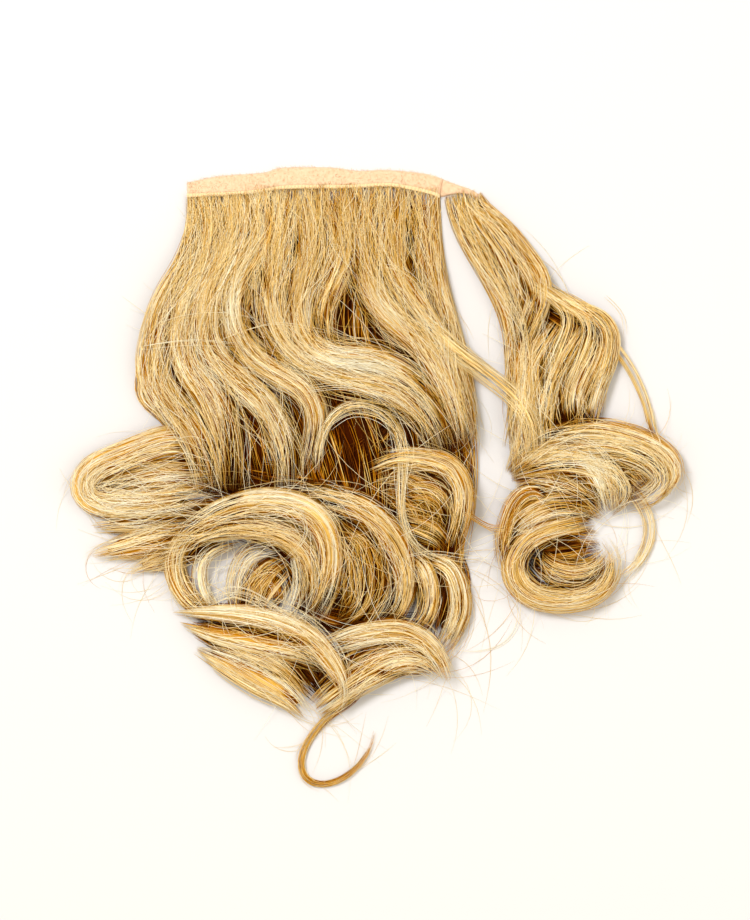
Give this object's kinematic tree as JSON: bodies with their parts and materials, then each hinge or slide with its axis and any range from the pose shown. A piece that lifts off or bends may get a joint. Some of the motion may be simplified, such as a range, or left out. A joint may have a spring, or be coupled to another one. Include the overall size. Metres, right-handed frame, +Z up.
{
  "type": "wrap-around ponytail hairpiece",
  "caption": "Long curled ponytail hairpiece lying flat: a hook-and-loop tape along the top, a wide fall of waves and ringlets, and a separate wrapping lock.",
  "frame": {"origin": "on the underside of the grip tape, midway along it, where it lies on the table", "axes": "+X along the tape to the right, +Y from the hair up to the tape's free edge, +Z up from the table"},
  "size_m": [0.3445, 0.3486, 0.0318],
  "materials": {
    "hair": "silky blonde fibre with golden brown depths",
    "loop_tape": "fuzzy loop pile",
    "stitched_binding": "fine stitched rib"
  },
  "bodies": {
    "root": {"grip_tape": "loop_tape", "wrap_tab": "loop_tape", "tape_binding": "stitched_binding", "curtain_hair": "hair", "wrap_hair": "hair"}
  },
  "joints": []
}
